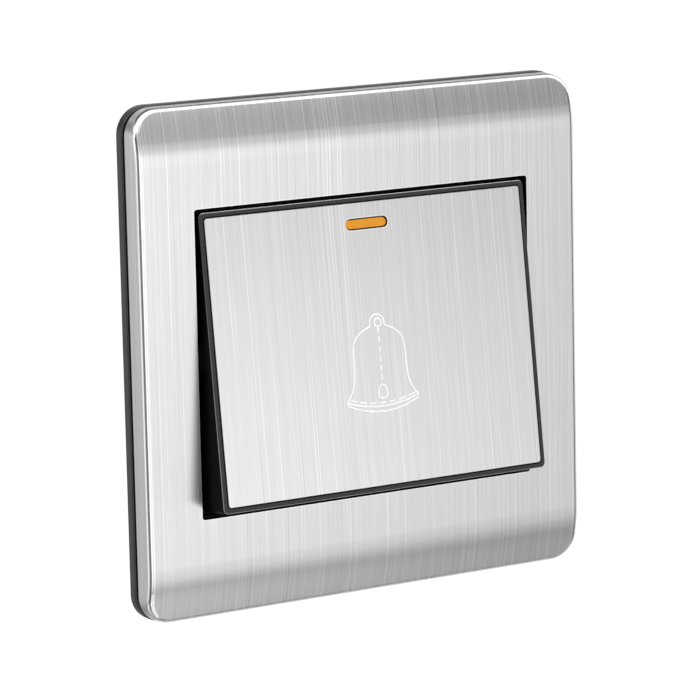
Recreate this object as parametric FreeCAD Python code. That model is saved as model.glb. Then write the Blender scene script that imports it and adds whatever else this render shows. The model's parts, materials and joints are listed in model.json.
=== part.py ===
import FreeCAD, Part

import math
import os

from FreeCAD import Vector

# A wall doorbell push on a square box plate: a brushed steel skin pressed over a black frame,
# with one large rocker that a spring returns, an amber indicator and a bell contact inside.
#
# Frame: millimetres, X to the right seen from the front, Y into the wall, Z up.
# The origin is the middle of the two box screws, on the wall.

# Face plate
plate_width = 86.0
plate_height = 86.0
plate_corner = 4.6
face_depth = 6.8            # from the wall to the flat front of the plate
sheet = 0.6                 # thickness of the pressed steel
flat_height = 67.0          # flat field between the two rolled bands
crease_radius = 20.0        # where a band leaves the flat field
crease_angle = 11.0
band_radius = 60.0          # long curve of a band out to the edge
edge_roll = 1.0             # radius between the front and the return
return_edge_round = 0.2     # on the return's rear edge
opening_width = 65.5
opening_height = 52.0
opening_corner = 0.5

# Mounting frame, whose black edge shows behind the steel
frame_thickness = 1.9
frame_edge_round = 0.3
frame_margin = 0.2          # the frame shows this far around the steel
land_height = 0.6           # makes the dark groove between the frame and the steel
land_inset = 1.4
land_width = 2.2
window_width = 26.4         # hole that the mechanism passes through
window_height = 44.0
window_centre_z = 1.0
window_corner = 1.5
rear_rim_width = 2.5        # rim that lies on the wall
rear_recess = 0.3           # the rest of the back stands this far off the wall
pad_length = 11.6           # raised pad around each screw slot
pad_width = 8.6

# Box screws
box_screw_pitch = 60.3
slot_width = 4.4
slot_length = 8.4
seat_depth = 0.7            # the screw seat is sunk this far
seat_margin = 2.3

# Cover frame under the steel
film = 0.05                 # adhesive between the steel and the frame
cover_wall = 1.4
collar_wall = 1.2
collar_depth = 3.6          # from the plate's front back along the opening
collar_clearance = 0.15
rib_thickness = 1.0
rib_depth = 2.4
side_ribs = 5
hook_width = 8.0
hook_thickness = 1.2
hook_barb = 0.5
hook_barb_height = 0.5
hook_ledge = 1.0            # thickness of the frame that a hook catches
hook_x = 22.0
hook_inset = 4.4            # from the plate's top or bottom edge to the hook
hook_play = 0.1
hook_side_play = 0.3
barb_room = 0.4

# Rocker
pivot_depth = 4.84          # pivot axis in front of the wall
rest_tilt = 7.0             # top edge in, bottom edge out
press_angle = 6.0
face_to_pivot = 5.0
rocker_side_gap = 0.8       # between the rocker and the opening
rocker_end_gap = 1.1
skin_corner = 0.6
skin_thickness = 0.5
skin_edge_round = 0.12
skin_proud = 0.1            # above the black rim
skin_gap = 0.15             # dark line around the skin
rim = 0.9
rim_corner = 0.9
rim_edge_round = 0.2
carrier_plate = 1.6
skirt_wall = 1.5
skirt_top_depth = 2.5       # from the rim's front to the skirt's rear edge
skirt_bottom_depth = 7.3
carrier_rib = 1.0
carrier_rib_depth = 1.9
rib_step_back = 0.6         # ribs end this far in front of the skirt's edge
carrier_rib_x = (-26.5, -14.0, 0.0, 14.0, 26.5)
carrier_rib_z = (-8.0, 8.0)

# Pivot
pin_radius = 1.5
pin_play = 0.08
pin_end_gap = 0.2
ear_radius = 2.4
ear_thickness = 2.4
ear_inner_x = 20.0
ear_mouth = 2.4             # slot that a pin is pressed in through
ear_foot = 3.2              # half width of an ear where it stands on the plate
ear_room = 1.0              # around an ear, free of the rocker's ribs
lug_gap = 0.5
lug_thickness = 2.4
lug_foot = 3.6              # half width of a lug where it leaves the rocker

# Plunger, which the rocker's foot pushes
plunger_z = -16.0
foot_tip_radius = 1.6
foot_gap = 0.1
stop_radius = 1.2
stop_gap = 0.1
stop_z = 20.3               # above and below the pivot
stem_radius = 2.5
stem_play = 0.1
stem_proud = 1.3            # how far the stem stands out of the mechanism cover
stem_nose_round = 0.4
sleeve_wall = 1.4
sleeve_lip = 0.5
sleeve_length = 4.4         # behind the cover plate
cage_gap = 0.1              # between the cage at rest and the sleeve that stops it
cage_width = 8.0
cage_height = 6.4
cage_front_wall = 1.6
cage_rear_wall = 1.6
cage_side_wall = 1.0
cage_window = 7.2
spigot_radius = 0.9
spigot_length = 1.2
tail_radius = 2.0
tail_length = 7.4
tail_chamfer = 0.4

# Contacts
bridge_length = 16.8
bridge_width = 4.0
bridge_thickness = 0.8
bridge_corner = 0.8
contact_x = 6.5
contact_radius = 1.5
contact_face_radius = 1.05
contact_dome = 0.25
contact_height = 0.8
contact_gap = 1.2
rivet_radius = 0.75
rivet_play = 0.05
rivet_proud = 0.2
arm_width = 5.0
arm_thickness = 0.8
arm_corner = 0.4
arm_inner_x = 4.8
arm_in_block = 1.5
arm_slot_play = 0.05

# Springs, each with a flat closed half turn at both ends
contact_spring_radius = 1.5     # to the middle of the wire
contact_spring_wire = 0.2
contact_spring_half_turns = 10
return_spring_radius = 2.75
return_spring_wire = 0.25
return_spring_half_turns = 8
return_spring_length = 5.0
spring_play = 0.02

# Housing in the wall box
housing_width = 48.0
housing_height = 50.0
housing_depth = 24.0
housing_wall = 1.6
housing_rear_wall = 1.8
housing_corner = 2.5
housing_edge_round = 0.8    # around its rear
boss_wall = 1.4
tail_hole_depth = 0.4       # into the rear wall

# Housing screws, from the front
screw_x = 17.5
screw_inset = 4.7           # from the housing's top or bottom to a screw
screw_radius = 1.1
screw_length = 9.0
screw_point_radius = 0.3
screw_head_radius = 1.9
screw_crown_radius = 1.4
screw_head_round = 0.35
screw_head_height = 1.3
screw_head_sunk = 0.1
screw_play = 0.05
screw_way = 0.15            # around a screw in the plates that it passes
head_play = 0.15
post_radius = 2.6
post_length = 9.0
post_hole_depth = 8.0
recess_width = 0.5
recess_span = 2.2
recess_depth = 0.7

# Mechanism cover
mech_width = 45.0
mech_above_screw = 4.2      # from the upper screws to the cover's top edge
mech_below_screw = 2.5
mech_thickness = 2.0
mech_corner = 1.5
mech_rim = 1.2
mech_rim_height = 1.2
mech_rim_play = 0.1

# Pillar terminals
terminal_x = 15.6
terminal_width = 8.0
terminal_depth = 10.0
terminal_height = 12.0
terminal_chamfer = 0.4
terminal_seat_gap = 0.1
terminal_rib = 1.0          # ribs of the housing that a terminal lies against
terminal_rib_height = 1.5
wire_radius = 1.75
wire_hole_length = 9.0
wire_hole_from_front = 3.7  # from the terminal's front to the wire hole's axis
wire_window = 6.4
clamp_screw_radius = 1.7
clamp_screw_play = 0.05
clamp_screw_up = 5.3        # from the terminal's bottom to the clamp screw
clamp_tip_gap = 0.25
clamp_tip_chamfer = 0.4
clamp_head_radius = 2.6
clamp_head_height = 1.8
clamp_head_chamfer = 0.3
clamp_head_lift = 0.3
clamp_head_slot = 0.7
clamp_slot_depth = 0.9
driver_hole_radius = 3.1

# Indicator
lens_drop = 3.65            # below the skin's top edge
lens_length = 8.3
lens_width = 1.95
lens_sunk = 0.4
lens_play = 0.08
lens_flange = 0.6
lens_flange_margin = 0.7
lens_flange_play = 0.3
lamp_radius = 1.5
lamp_flange_radius = 1.9
lamp_flange = 1.0
lamp_length = 5.1
lamp_proud = 0.3            # in front of the mechanism cover
lamp_hole_play = 0.2
lamp_lead = 0.25
lamp_lead_pitch = 2.54
board_width = 27.0
board_height = 13.7
board_above_lamp = 2.34     # from the lamp's axis to the board's top edge
board_gap = 0.2             # between the board and the housing
board_thickness = 1.0
board_corner = 1.0
board_from_wall = 2.2
board_post_x = 8.5
board_post_z = 12.0
board_post_radius = 1.7
board_pin_radius = 0.8
board_pin_play = 0.05
board_pin_proud = 0.4
lead_proud = 0.6            # soldered ends behind the board
resistor_radius = 1.15
resistor_cap_radius = 1.3
resistor_cap_length = 1.6
resistor_cap_round = 0.3
resistor_length = 6.3
resistor_z = 16.0
resistor_lead = 0.3
resistor_bend = 0.6
resistor_pitch = 10.0
resistor_lift = 0.4
strip_width = 2.0
strip_thickness = 0.3
strip_bend = 1.0
strip_x = 12.0
strip_start_z = 14.0
strip_tab = 3.0
strip_run_y = 11.5
strip_foot = 5.0

# Modelling allowances
seat = 0.02                 # between faces that rest on each other
bury = 0.1                  # how far a moulded feature starts inside its carrier
past = 1.0                  # how far a cutter runs past the face it opens
near = 0.01                 # for finding edges by their place

# Where the main faces lie, worked out from the sizes above
face_y = -face_depth
frame_front_y = -frame_thickness
frame_rear_y = -rear_recess
seam_y = frame_front_y - land_height
mech_front_y = frame_front_y - mech_thickness
pivot = Vector(0, -pivot_depth, 0)
carrier_width = opening_width - 2 * rocker_side_gap
carrier_height = opening_height - 2 * rocker_end_gap
skin_width = carrier_width - 2 * rim
skin_height = carrier_height - 2 * rim
rim_front = -(face_to_pivot - skin_proud)
pocket_floor = -(face_to_pivot - skin_thickness)
carrier_back = pocket_floor + carrier_plate
stem_front_y = mech_front_y - stem_proud
sleeve_radius = stem_radius + stem_play + sleeve_wall
sleeve_rear_y = frame_front_y + sleeve_length
cage_front_y = sleeve_rear_y + cage_gap
window_front_y = cage_front_y + cage_front_wall
window_rear_y = window_front_y + cage_window
cage_rear_y = window_rear_y + cage_rear_wall
bridge_front_y = window_rear_y - bridge_thickness
fixed_contact_y = window_rear_y + contact_height + contact_gap
arm_front_y = fixed_contact_y + contact_height
spring_seat_y = cage_rear_y + return_spring_length
housing_rear_inner = housing_depth - housing_rear_wall
housing_floor_z = -housing_height / 2 + housing_wall
screw_z = housing_height / 2 - screw_inset
mech_top = screw_z + mech_above_screw
mech_bottom = -screw_z - mech_below_screw
terminal_rear_y = housing_rear_inner - terminal_rib_height
terminal_front_y = terminal_rear_y - terminal_depth
terminal_bottom_z = housing_floor_z + terminal_seat_gap
terminal_top_z = terminal_bottom_z + terminal_height
clamp_screw_z = terminal_bottom_z + clamp_screw_up
wire_y = terminal_front_y + wire_hole_from_front
board_rear_y = board_from_wall + board_thickness
lens_z = skin_height / 2 - lens_drop
tilt = math.radians(rest_tilt)
lamp_z = lens_z * math.cos(tilt) + face_to_pivot * math.sin(tilt)
board_top = lamp_z + board_above_lamp
board_bottom = board_top - board_height


def box(x0, x1, y0, y1, z0, z1):
    """Plain block between two corners."""
    return Part.makeBox(x1 - x0, y1 - y0, z1 - z0, Vector(x0, y0, z0))


def rod(radius, x, y0, y1, z):
    """Round bar along Y."""
    return Part.makeCylinder(radius, y1 - y0, Vector(x, y0, z), Vector(0, 1, 0))


def rod_across(radius, x0, x1, y, z):
    """Round bar along X."""
    return Part.makeCylinder(radius, x1 - x0, Vector(x0, y, z), Vector(1, 0, 0))


def rounded_face(width, height, radius, y, centre_x=0.0, centre_z=0.0):
    """Flat rectangle with round corners, facing along Y."""
    w, h, r = width / 2, height / 2, radius
    k = r * (1 - math.sqrt(0.5))

    def at(x, z):
        return Vector(centre_x + x, y, centre_z + z)

    def corner(a, b, c):
        return Part.Arc(at(*a), at(*b), at(*c)).toShape()

    edges = [
        corner((w - r, h), (w - k, h - k), (w, h - r)),
        corner((w, r - h), (w - k, k - h), (w - r, -h)),
        corner((r - w, -h), (k - w, k - h), (-w, r - h)),
        corner((-w, h - r), (k - w, h - k), (r - w, h)),
    ]
    if w > r:
        edges += [Part.makeLine(at(r - w, h), at(w - r, h)), Part.makeLine(at(w - r, -h), at(r - w, -h))]
    if h > r:
        edges += [Part.makeLine(at(w, h - r), at(w, r - h)), Part.makeLine(at(-w, r - h), at(-w, h - r))]
    return Part.Face(Part.Wire(Part.__sortEdges__(edges)))


def slab(width, height, radius, y0, y1, centre_x=0.0, centre_z=0.0):
    """Plate with round corners, from y0 back to y1."""
    face = rounded_face(width, height, radius, y0, centre_x, centre_z)
    return face.extrude(Vector(0, y1 - y0, 0))


def slot_bar(width, length, y0, y1, x):
    """Bar with round ends, long along X, from y0 back to y1."""
    return slab(length, width, width / 2, y0, y1, x)


def polygon_across(points, x0, x1):
    """Straight-sided outline of (y, z) points, given a thickness along X."""
    corners = [Vector(x0, y, z) for y, z in points]
    return Part.Face(Part.makePolygon(corners + corners[:1])).extrude(Vector(x1 - x0, 0, 0))


def turned(points, x, z):
    """Solid of revolution about a line along Y; points are (radius, y)."""
    outline = [Vector(x + r, y, z) for r, y in points]
    face = Part.Face(Part.makePolygon(outline + outline[:1]))
    return face.revolve(Vector(x, 0, z), Vector(0, 1, 0), 360)


def rounded_path(points, radius):
    """Wire of straight runs through the points, with an arc at each inner one."""
    edges = []
    start = points[0]
    for before, corner, after in zip(points, points[1:], points[2:]):
        back = (before - corner).normalize()
        on = (after - corner).normalize()
        half = back.getAngle(on) / 2
        reach = radius / math.tan(half)
        inward = (back + on).normalize()
        middle = corner + inward * (radius / math.sin(half) - radius)
        edges.append(Part.makeLine(start, corner + back * reach))
        edges.append(Part.Arc(corner + back * reach, middle, corner + on * reach).toShape())
        start = corner + on * reach
    edges.append(Part.makeLine(start, points[-1]))
    return Part.Wire(edges)


def edges_at(shape, y):
    """Edges whose middle lies at y."""
    return [edge for edge in shape.Edges if abs(edge.CenterOfMass.y - y) < near]


def fused(first, *others):
    """One clean solid out of pieces that touch."""
    return first.fuse(list(others)).removeSplitter() if others else first


def mirrored(shape):
    """The same shape on the other side of the middle."""
    return shape.mirror(Vector(0, 0, 0), Vector(1, 0, 0))


def single(shape):
    """The only solid that a cut or a join left."""
    solids = shape.Solids
    if len(solids) != 1:
        raise ValueError(f"expected one solid, got {len(solids)}")
    return solids[0]


def band_profile(inset):
    """Points of the plate's front line above the middle, moved inwards by inset."""
    half_flat = flat_height / 2
    crease = math.radians(crease_angle)
    crease_centre = Vector(0, face_y + crease_radius, half_flat)
    crease_end = crease_centre + Vector(0, -math.cos(crease), math.sin(crease)) * crease_radius
    band_centre = crease_end - Vector(0, -math.cos(crease), math.sin(crease)) * band_radius
    reach = plate_height / 2 + edge_roll
    end = math.asin((reach - band_centre.z) / band_radius)

    def on(centre, radius, angle):
        return centre + Vector(0, -math.cos(angle), math.sin(angle)) * (radius - inset)

    return [
        on(crease_centre, crease_radius, 0),
        on(crease_centre, crease_radius, crease / 2),
        on(crease_centre, crease_radius, crease),
        on(band_centre, band_radius, (crease + end) / 2),
        on(band_centre, band_radius, end),
    ]


def pressed_form(inset, rear_y):
    """The plate's outer form, moved inwards by inset on the front and all sides."""
    upper = band_profile(inset)
    lower = [Vector(0, p.y, -p.z) for p in upper]
    top_rear = Vector(0, rear_y, upper[4].z)
    bottom_rear = Vector(0, rear_y, lower[4].z)
    outline = [
        Part.Arc(lower[4], lower[3], lower[2]).toShape(),
        Part.Arc(lower[2], lower[1], lower[0]).toShape(),
        Part.makeLine(lower[0], upper[0]),
        Part.Arc(upper[0], upper[1], upper[2]).toShape(),
        Part.Arc(upper[2], upper[3], upper[4]).toShape(),
        Part.makeLine(upper[4], top_rear),
        Part.makeLine(top_rear, bottom_rear),
        Part.makeLine(bottom_rear, lower[4]),
    ]
    side = Part.Face(Part.Wire(outline))
    side.translate(Vector(-plate_width, 0, 0))
    long_bar = side.extrude(Vector(2 * plate_width, 0, 0))
    width, height = plate_width - 2 * inset, plate_height - 2 * inset
    outline_bar = slab(width, height, plate_corner - inset, face_y - past, rear_y)
    form = single(long_bar.common(outline_bar))
    roll = edge_roll - inset
    if roll < near:
        return form
    return single(form.makeFillet(roll, front_loop(form, width, height, rear_y)))


def front_loop(form, width, height, rear_y):
    """Edges between the front of a pressed form and its sides."""
    loop = []
    for edge in form.Edges:
        bounds = edge.BoundBox
        if bounds.YMax > rear_y - near:
            continue
        middle = edge.CenterOfMass
        at_side = width / 2 - abs(middle.x) < plate_corner and bounds.XLength < plate_corner
        at_end = height / 2 - abs(middle.z) < near
        if at_side or at_end:
            loop.append(edge)
    return loop


def opening_cutter(clearance, y0, y1):
    """The rocker's opening, larger by clearance all round."""
    return slab(
        opening_width + 2 * clearance,
        opening_height + 2 * clearance,
        opening_corner + clearance,
        y0,
        y1,
    )


def make_steel_plate():
    """Pressed skin with its rolled bands, its return and the rocker's opening."""
    form = pressed_form(0.0, seam_y)
    form = form.makeFillet(return_edge_round, edges_at(form, seam_y))
    skin = form.cut(pressed_form(sheet, seam_y + past))
    return single(skin.cut(opening_cutter(0.0, face_y - past, seam_y)))


def hook_places():
    """Middle of each snap hook as (x, sign of z)."""
    return [(x, side) for x in (-hook_x, hook_x) for side in (-1, 1)]


def make_hook(x, side):
    """Tongue behind the cover frame, with a barb that catches the mounting frame."""
    z_in = plate_height / 2 - hook_inset - hook_thickness
    z_out = plate_height / 2 - hook_inset
    barb_front = frame_front_y + hook_ledge + hook_play
    barb_rear = barb_front + hook_barb_height
    outline = [
        (face_y, z_in),
        (barb_rear, z_in),
        (barb_rear, z_out),
        (barb_front, z_out + hook_barb),
        (barb_front, z_out),
        (face_y, z_out),
    ]
    hook = polygon_across([(y, side * z) for y, z in outline], x - hook_width / 2, x + hook_width / 2)
    return hook.common(pressed_form(sheet + film + cover_wall / 2, frame_thickness))


def make_cover_frame():
    """Black shell that fills the steel, with the collar the rocker moves in."""
    inset = sheet + film
    outer = pressed_form(inset, seam_y)
    hollow = pressed_form(inset + cover_wall, seam_y + past)
    collar_rear = face_y + collar_depth
    collar = opening_cutter(collar_clearance + collar_wall, face_y, collar_rear).common(outer)
    ribs = []
    rib_rear = face_y + inset + cover_wall + rib_depth
    for n in range(side_ribs):
        share = (n + 0.5) / side_ribs - 0.5
        x, z = share * plate_width, share * plate_height
        half = rib_thickness / 2
        ribs.append(box(x - half, x + half, face_y, rib_rear, -plate_height / 2, plate_height / 2))
        ribs.append(box(-plate_width / 2, plate_width / 2, face_y, rib_rear, z - half, z + half))
    web = ribs[0].fuse(ribs[1:]).common(outer)
    shell = outer.cut(hollow).fuse([collar, web] + [make_hook(x, side) for x, side in hook_places()])
    opening = opening_cutter(collar_clearance, face_y - past, frame_thickness)
    mechanism = slab(
        mech_width + 2 * collar_clearance,
        mech_top - mech_bottom + 2 * collar_clearance,
        mech_corner,
        mech_front_y - collar_clearance,
        frame_front_y,
        0,
        (mech_top + mech_bottom) / 2,
    )
    return single(shell.cut([opening, mechanism]).removeSplitter())


def hook_slot(x, side):
    """Way through the mounting frame for one hook, with room for its barb behind the ledge."""
    half = hook_width / 2 + hook_side_play
    z_in = plate_height / 2 - hook_inset - hook_thickness - hook_play - hook_barb
    z_out = plate_height / 2 - hook_inset + hook_play
    z_deep = z_out + hook_barb + barb_room
    ledge_rear = frame_front_y + hook_ledge
    through = box(x - half, x + half, seam_y - past, past, z_in, z_out)
    room = box(x - half, x + half, ledge_rear, past, z_in, z_deep)
    slot = through.fuse(room)
    return slot if side > 0 else slot.mirror(Vector(0, 0, 0), Vector(0, 0, 1))


def frame_land():
    """Raised ring on the mounting frame that carries the cover frame."""
    inner = land_inset + land_width
    ring = slab(
        plate_width - 2 * land_inset,
        plate_height - 2 * land_inset,
        plate_corner - land_inset,
        seam_y,
        frame_front_y,
    )
    hollow = slab(
        plate_width - 2 * inner,
        plate_height - 2 * inner,
        plate_corner - inner,
        seam_y - past,
        frame_front_y + past,
    )
    return ring.cut(hollow)


def frame_recess():
    """Shallow hollow of the frame's back, inside its rim and around the screw pads."""
    recess = slab(
        plate_width - 2 * rear_rim_width,
        plate_height - 2 * rear_rim_width,
        plate_corner - rear_rim_width,
        frame_rear_y,
        past,
    )
    places = (-box_screw_pitch / 2, box_screw_pitch / 2)
    pads = [slot_bar(pad_width, pad_length, frame_rear_y, past, x) for x in places]
    return recess.cut(pads)


def make_mounting_frame():
    """Back frame with the two screw slots and the land that carries the cover frame."""
    width, height = plate_width + 2 * frame_margin, plate_height + 2 * frame_margin
    plate = slab(width, height, plate_corner + frame_margin, frame_front_y, 0)
    plate = plate.makeFillet(frame_edge_round, edges_at(plate, frame_front_y) + edges_at(plate, 0))
    body = fused(plate, frame_land()).cut(frame_recess())
    cuts = [slab(window_width, window_height, window_corner, seam_y - past, past, 0, window_centre_z)]
    cuts.append(rod(lamp_flange_radius + lamp_hole_play, 0, seam_y - past, past, lamp_z))
    cuts.append(rod(sleeve_radius + mech_rim_play, 0, seam_y - past, past, plunger_z))
    for side in (-1, 1):
        x = side * box_screw_pitch / 2
        cuts.append(slot_bar(slot_width, slot_length, seam_y - past, past, x))
        seat_width, seat_length = slot_width + 2 * seat_margin, slot_length + 2 * seat_margin
        cuts.append(slot_bar(seat_width, seat_length, seam_y - past, frame_front_y + seat_depth, x))
        for z in (-screw_z, screw_z):
            cuts.append(rod(screw_radius + screw_way, side * screw_x, seam_y - past, past, z))
    cuts += [hook_slot(x, side) for x, side in hook_places()]
    return single(body.cut(cuts))


def tilted(shape):
    """Move a piece of the rocker from its own frame, with the pivot at zero, to its rest."""
    placed = shape.copy()
    placed.rotate(Vector(0, 0, 0), Vector(1, 0, 0), -rest_tilt)
    placed.translate(pivot)
    return placed


def in_rocker(y, z, pressed=0.0):
    """A place in the rocker's own frame for a point of the whole part, pressed by some degrees."""
    lean = math.radians(rest_tilt - pressed)
    dy, dz = y - pivot.y, z - pivot.z
    return dy * math.cos(lean) - dz * math.sin(lean), dy * math.sin(lean) + dz * math.cos(lean)


def peg(radius, x, y_from, y_tip, z):
    """Round peg with a domed end at y_tip."""
    dome = Part.makeSphere(radius, Vector(x, y_tip - radius, z))
    return rod(radius, x, y_from, y_tip - radius, z).fuse(dome)


def skirt_edge(z, step):
    """How far back the skirt reaches at height z, less a step."""
    share = (carrier_height / 2 - z) / carrier_height
    return rim_front + skirt_top_depth + share * (skirt_bottom_depth - skirt_top_depth) - step


def behind_skirt(step):
    """Cutter for everything behind the skirt's slanting rear edge."""
    high, low = carrier_height, -carrier_height
    far = housing_depth
    outline = [(skirt_edge(high, step), high), (far, high), (far, low), (skirt_edge(low, step), low)]
    return polygon_across(outline, -carrier_width, carrier_width)


def lens_stadium(margin, y0, y1):
    """The indicator's long round-ended outline, larger by margin all round."""
    width = lens_width + 2 * margin
    return slab(lens_length + 2 * margin, width, width / 2, y0, y1, 0, lens_z)


def make_rocker_carrier():
    """Black moulding of the rocker: rim, skirt, ribs, pivot pins, foot and stops."""
    far_back = rim_front + skirt_bottom_depth + past
    outer = slab(carrier_width, carrier_height, rim_corner, rim_front, far_back)
    outer = outer.makeFillet(rim_edge_round, edges_at(outer, rim_front))
    hollow = slab(
        carrier_width - 2 * skirt_wall,
        carrier_height - 2 * skirt_wall,
        rim_corner,
        carrier_back,
        far_back + past,
    )
    pocket = slab(
        skin_width + 2 * skin_gap,
        skin_height + 2 * skin_gap,
        skin_corner + skin_gap,
        rim_front - past,
        pocket_floor,
    )
    shell = outer.cut(hollow).cut(behind_skirt(0)).cut(pocket)
    body = shell.fuse([carrier_ribs(far_back)] + make_lugs() + make_pegs()).removeSplitter()
    flange_room = lens_stadium(lens_flange_margin + lens_flange_play, carrier_back, far_back)
    body = body.cut([lens_stadium(0.0, rim_front - past, carrier_back + near), flange_room])
    return tilted(single(body))


def carrier_ribs(far_back):
    """Ribs behind the rocker's plate, open where the bearings stand."""
    w, h = carrier_width / 2 - skirt_wall / 2, carrier_height / 2 - skirt_wall / 2
    half = carrier_rib / 2
    root, rear = carrier_back - bury, carrier_back + carrier_rib_depth
    ribs = [box(x - half, x + half, root, rear, -h, h) for x in carrier_rib_x]
    ribs += [box(-w, w, root, rear, z - half, z + half) for z in carrier_rib_z]
    web = ribs[0].fuse(ribs[1:]).cut(behind_skirt(rib_step_back))
    clear = ear_radius + ear_room
    reach = ear_thickness / 2 + lug_gap
    for side in (-1, 1):
        x = side * (ear_inner_x + ear_thickness / 2)
        web = web.cut(box(x - reach, x + reach, carrier_back, far_back, -clear, clear))
    return web


def make_lugs():
    """The two lugs behind the rocker with their pivot pins."""
    x_in = ear_inner_x + ear_thickness + lug_gap
    x_out = x_in + lug_thickness
    root = carrier_back - bury
    lugs = []
    for side in (-1, 1):
        lo, hi = sorted((side * x_in, side * x_out))
        outline = [(root, -lug_foot), (root, lug_foot), (0, ear_radius), (0, -ear_radius)]
        flank = polygon_across(outline, lo, hi)
        eye = rod_across(ear_radius, lo, hi, 0, 0)
        pin_lo, pin_hi = sorted((side * (ear_inner_x + pin_end_gap), side * (x_in + bury)))
        lugs.append(flank.fuse([eye, rod_across(pin_radius, pin_lo, pin_hi, 0, 0)]))
    return lugs


def make_pegs():
    """Foot on the plunger, and pegs that stop the rocker at rest and at full press."""
    foot_y, foot_z = in_rocker(stem_front_y - foot_gap - foot_tip_radius, plunger_z)
    root = pocket_floor + bury
    pegs = [peg(foot_tip_radius, 0, root, foot_y + foot_tip_radius, foot_z)]
    stop_y = mech_front_y - stop_gap - stop_radius
    for x in (-board_post_x, board_post_x):
        for z, pressed in ((stop_z, 0.0), (-stop_z, press_angle)):
            peg_y, peg_z = in_rocker(stop_y, z, pressed)
            pegs.append(peg(stop_radius, x, root, peg_y + stop_radius, peg_z))
    return pegs


def make_rocker_skin():
    """Flat brushed plate bonded into the rocker, with the indicator's slot."""
    plate = slab(skin_width, skin_height, skin_corner, -face_to_pivot, pocket_floor)
    plate = plate.makeFillet(skin_edge_round, edges_at(plate, -face_to_pivot))
    return tilted(single(plate.cut(lens_stadium(0.0, -face_to_pivot - past, pocket_floor + past))))


def make_indicator_lens():
    """Amber window, held by a flange behind the rocker's plate."""
    front = -face_to_pivot + lens_sunk
    window = lens_stadium(-lens_play, front, carrier_back + lens_flange)
    flange = lens_stadium(lens_flange_margin, carrier_back + seat, carrier_back + lens_flange)
    return tilted(single(fused(window, flange)))


def make_mechanism_cover():
    """Front plate of the mechanism: bearings, plunger sleeve, lamp hole and board posts."""
    height = mech_top - mech_bottom
    middle = (mech_top + mech_bottom) / 2
    plate = slab(mech_width, height, mech_corner, mech_front_y, frame_front_y, 0, middle)
    rim_w, rim_h = window_width - 2 * mech_rim_play, window_height - 2 * mech_rim_play
    rear = frame_front_y + mech_rim_height
    ring = slab(rim_w, rim_h, window_corner, frame_front_y, rear, 0, window_centre_z)
    inner_w, inner_h = rim_w - 2 * mech_rim, rim_h - 2 * mech_rim
    hollow_rear = rear + past
    ring = ring.cut(slab(inner_w, inner_h, mech_rim_play, frame_front_y, hollow_rear, 0, window_centre_z))
    sleeve_front = mech_front_y - sleeve_lip
    additions = [ring, rod(sleeve_radius, 0, sleeve_front, sleeve_rear_y, plunger_z)]
    for side in (-1, 1):
        additions.append(make_ear(side))
        x = side * board_post_x
        additions.append(rod(board_post_radius, x, frame_front_y, board_from_wall, board_post_z))
        pin_end = board_rear_y + board_pin_proud
        additions.append(rod(board_pin_radius, x, frame_front_y, pin_end, board_post_z))
    body = plate.fuse(additions).removeSplitter()
    front = mech_front_y - past
    cuts = [rod(stem_radius + stem_play, 0, sleeve_front - past, sleeve_rear_y + past, plunger_z)]
    cuts.append(rod(lamp_radius + lamp_hole_play, 0, front, hollow_rear, lamp_z))
    for side in (-1, 1):
        lo, hi = sorted((side * ear_inner_x, side * (ear_inner_x + ear_thickness + past)))
        cuts.append(rod_across(pin_radius + pin_play, lo, hi, pivot.y, 0))
        for z in (-screw_z, screw_z):
            x = side * screw_x
            cuts.append(rod(screw_radius + screw_way, x, front, rear, z))
            cuts.append(rod(screw_head_radius + head_play, x, front, mech_front_y + screw_head_height, z))
    return single(body.cut(cuts))


def make_ear(side):
    """Upright bearing, open at the front so that a pin snaps in."""
    lo, hi = sorted((side * ear_inner_x, side * (ear_inner_x + ear_thickness)))
    root = mech_front_y + bury
    outline = [(pivot.y, -ear_radius), (root, -ear_foot), (root, ear_foot), (pivot.y, ear_radius)]
    flank = polygon_across(outline, lo, hi)
    ear = flank.fuse(rod_across(ear_radius, lo, hi, pivot.y, 0))
    hole = rod_across(pin_radius + pin_play, lo - past, hi + past, pivot.y, 0)
    mouth = box(lo - past, hi + past, pivot.y - 2 * ear_radius, pivot.y, -ear_mouth / 2, ear_mouth / 2)
    return ear.cut([hole, mouth])


def screw_post(x, z, within):
    """Post for a housing screw, joined to the two nearest walls by webs."""
    half = rib_thickness / 2
    x_lo, x_hi = sorted((x, math.copysign(housing_width / 2, x)))
    z_lo, z_hi = sorted((z, math.copysign(housing_height / 2, z)))
    post = rod(post_radius, x, frame_rear_y, post_length, z)
    web = box(x_lo, x_hi, frame_rear_y, post_length, z - half, z + half)
    web_up = box(x - half, x + half, frame_rear_y, post_length, z_lo, z_hi)
    return post.fuse([web, web_up]).common(within)


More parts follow.
